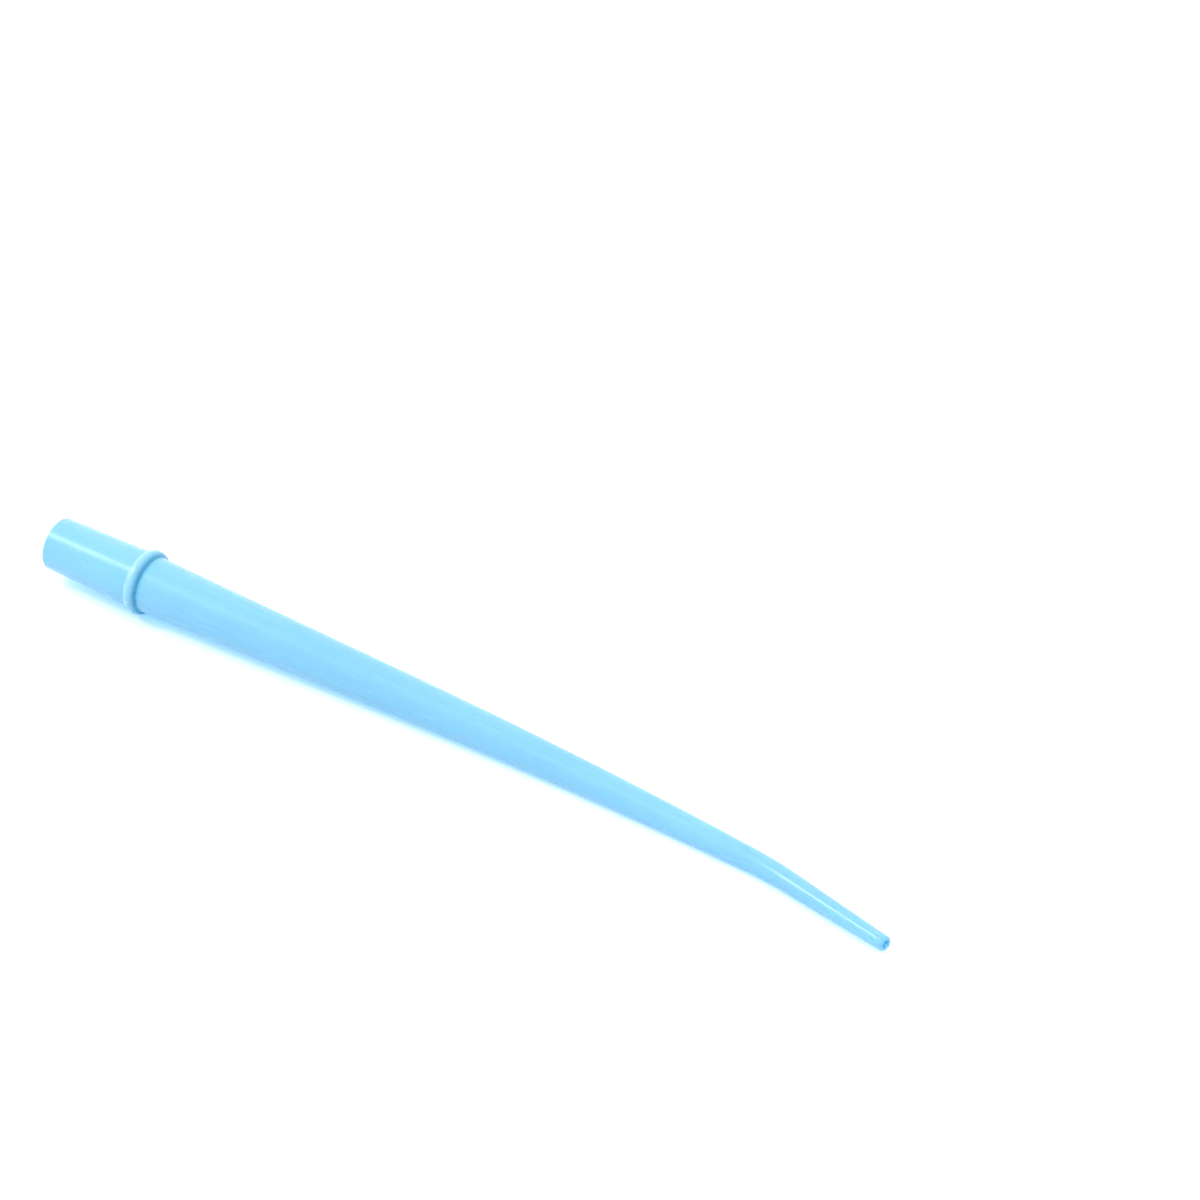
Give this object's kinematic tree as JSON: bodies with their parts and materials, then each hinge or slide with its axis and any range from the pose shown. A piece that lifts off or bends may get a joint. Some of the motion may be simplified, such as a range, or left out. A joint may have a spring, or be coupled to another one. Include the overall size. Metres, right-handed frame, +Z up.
{
  "type": "surgical aspirator tip",
  "caption": "One-piece moulded suction tip: open plug-in connector with a half-round stop collar, long conical, slightly bowed barrel and a short bend into a thin nozzle.",
  "frame": {"origin": "bottom centre of the bounding box, on the surface that the tip lies on", "axes": "+X along the connector and barrel, from the open connector towards the nozzle; +Z up from the surface; the nozzle bends towards -Y"},
  "size_m": [0.2014, 0.0192, 0.0134],
  "materials": {
    "blue_plastic": "smooth moulded polypropylene, glossy and slightly translucent, sky blue"
  },
  "bodies": {
    "root": {"aspirator_tip": "blue_plastic"}
  },
  "joints": []
}
